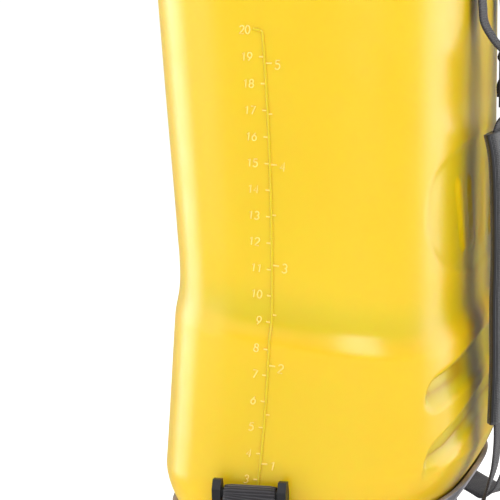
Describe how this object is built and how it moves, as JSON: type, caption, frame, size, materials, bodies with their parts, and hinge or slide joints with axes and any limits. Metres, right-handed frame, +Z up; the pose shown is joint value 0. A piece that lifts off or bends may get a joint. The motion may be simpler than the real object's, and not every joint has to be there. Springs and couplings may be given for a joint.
{
  "type": "backpack sprayer",
  "caption": "Lever-operated backpack sprayer: a waisted plastic tank with litre scale on a cradle stand, screw lid, piston pump, padded shoulder straps and a clipped spray lance.",
  "frame": {"origin": "on the ground, on the tank's centre plane, under the filler neck", "axes": "+Z up; +Y towards the wearer's back; +X towards the wearer's right, the side with the litre scale"},
  "size_m": [0.4827, 0.263, 0.584],
  "materials": {
    "tank_plastic": "slightly translucent blow-moulded polyethylene, satin",
    "base_plastic": "light grey moulded plastic, fine grain",
    "steel": "zinc plated",
    "lance_steel": "drawn stainless tube",
    "lever_steel": "black powder coat",
    "black_plastic": "moulded, fine grain",
    "natural_plastic": "natural, satin",
    "rubber": "matt",
    "grip_rubber": "ribbed, matt",
    "webbing": "ribbed woven polypropylene tape",
    "pad_fabric": "coarse woven cover over foam",
    "brass": "turned"
  },
  "bodies": {
    "sprayer": {"tank": "tank_plastic", "base_cradle": "base_plastic", "side_frame_left": "base_plastic", "side_frame_right": "base_plastic", "crank_guard": "base_plastic", "frame_screws": "steel", "shaft_bushes": "black_plastic", "strap_anchor_left": "black_plastic", "strap_anchor_right": "black_plastic", "top_handle": "black_plastic", "handle_screws": "steel", "pump_barrel": "natural_plastic", "barrel_gasket": "rubber", "barrel_nut": "natural_plastic", "pump_head": "natural_plastic", "inlet_valve": "rubber", "ball_cage": "natural_plastic", "air_chamber": "natural_plastic", "chamber_seal": "rubber", "outlet_tube": "natural_plastic", "outlet_elbow": "black_plastic", "outlet_nut": "black_plastic", "lance_clips": "black_plastic", "strap_upper_left": "webbing", "strap_upper_right": "webbing", "strap_adjuster_left": "black_plastic", "strap_adjuster_right": "black_plastic", "shoulder_pad_left": "pad_fabric", "shoulder_pad_right": "pad_fabric", "strap_lower_left": "webbing", "strap_lower_right": "webbing"},
    "ball": {"outlet_ball": "steel"},
    "strainer": {"strainer": "black_plastic"},
    "lid_ring": {"lid_gasket": "rubber"},
    "vent": {"lid_vent": "rubber"},
    "lid": {"lid": "black_plastic"},
    "crank": {"crank_shaft": "steel", "crank_arm": "steel", "crank_pin": "steel", "lever_socket": "black_plastic", "lever_bolt": "steel", "wing_nut": "black_plastic"},
    "lever": {"lever_tube": "lever_steel", "lever_grip": "grip_rubber"},
    "link": {"link_plates": "steel"},
    "plunger": {"piston_rod": "steel", "piston": "natural_plastic", "piston_seals": "rubber", "rod_pin": "steel"},
    "lance": {"lance_handle": "black_plastic", "handle_inlet_nut": "black_plastic", "lance_nut": "black_plastic", "lance_tube": "lance_steel", "nozzle_body": "brass", "valve_gland": "brass", "trigger_pin": "steel"},
    "trigger": {"trigger": "black_plastic"},
    "valve": {"valve_stem": "steel"},
    "nozzle_tip": {"nozzle_cap": "black_plastic"}
  },
  "joints": [
    {"name": "pump_stroke", "type": "hinge", "parent": "sprayer", "child": "crank", "pos_m": [0, 0.052, 0.043], "axis": [1, 0, 0], "range_deg": [-15, 15]},
    {"name": "link_swing", "type": "hinge", "parent": "crank", "child": "link", "pos_m": [0, -0.01, 0.043], "axis": [1, 0, 0], "range_deg": [-15, 15]},
    {"name": "piston_slide", "type": "slide", "parent": "sprayer", "child": "plunger", "axis": [0, 0, 1], "range_m": [-0.0163, 0.0163]},
    {"name": "lever_fold", "type": "hinge", "parent": "crank", "child": "lever", "pos_m": [-0.24, 0.052, 0.086], "axis": [-1, 0, 0], "range_deg": [0, 95]},
    {"name": "strainer_lift", "type": "slide", "parent": "sprayer", "child": "strainer", "axis": [0, 0, 1], "range_m": [0, 0.085]},
    {"name": "lid_lift", "type": "slide", "parent": "strainer", "child": "lid_ring", "axis": [0, 0, 1], "range_m": [0, 0.15]},
    {"name": "lid_rise", "type": "slide", "parent": "lid_ring", "child": "vent", "axis": [0, 0, 1], "range_m": [0, 0.0125]},
    {"name": "lid_turn", "type": "hinge", "parent": "vent", "child": "lid", "pos_m": [0, 0, 0.536], "axis": [0, 0, 1], "range_deg": [0, 540]},
    {"name": "ball_lift", "type": "slide", "parent": "sprayer", "child": "ball", "axis": [0, 0, 1], "range_m": [0, 0.004]},
    {"name": "lance_unclip", "type": "slide", "parent": "sprayer", "child": "lance", "axis": [0, -1, 0], "range_m": [0, 0.12]},
    {"name": "trigger_squeeze", "type": "hinge", "parent": "lance", "child": "trigger", "pos_m": [-0.207, -0.086, 0.162], "axis": [1, 0, 0], "range_deg": [0, 9], "stiffness_Nm_per_rad": 0.8, "springref_deg": -14.32},
    {"name": "valve_slide", "type": "slide", "parent": "lance", "child": "valve", "axis": [0, 1, 0], "range_m": [0, 0.003]},
    {"name": "nozzle_turn", "type": "hinge", "parent": "lance", "child": "nozzle_tip", "pos_m": [-0.207, -0.062, 0.575], "axis": [0, 0, 1], "range_deg": [0, 360]}
  ],
  "couplings": [
    {"joint": "link_swing", "follows": "pump_stroke", "ratio": -1},
    {"joint": "piston_slide", "follows": "pump_stroke", "m_per_rad": -0.062},
    {"joint": "lid_rise", "follows": "lid_turn", "m_per_rad": 0.0012732},
    {"joint": "valve_slide", "follows": "trigger_squeeze", "m_per_rad": 0.0185}
  ]
}
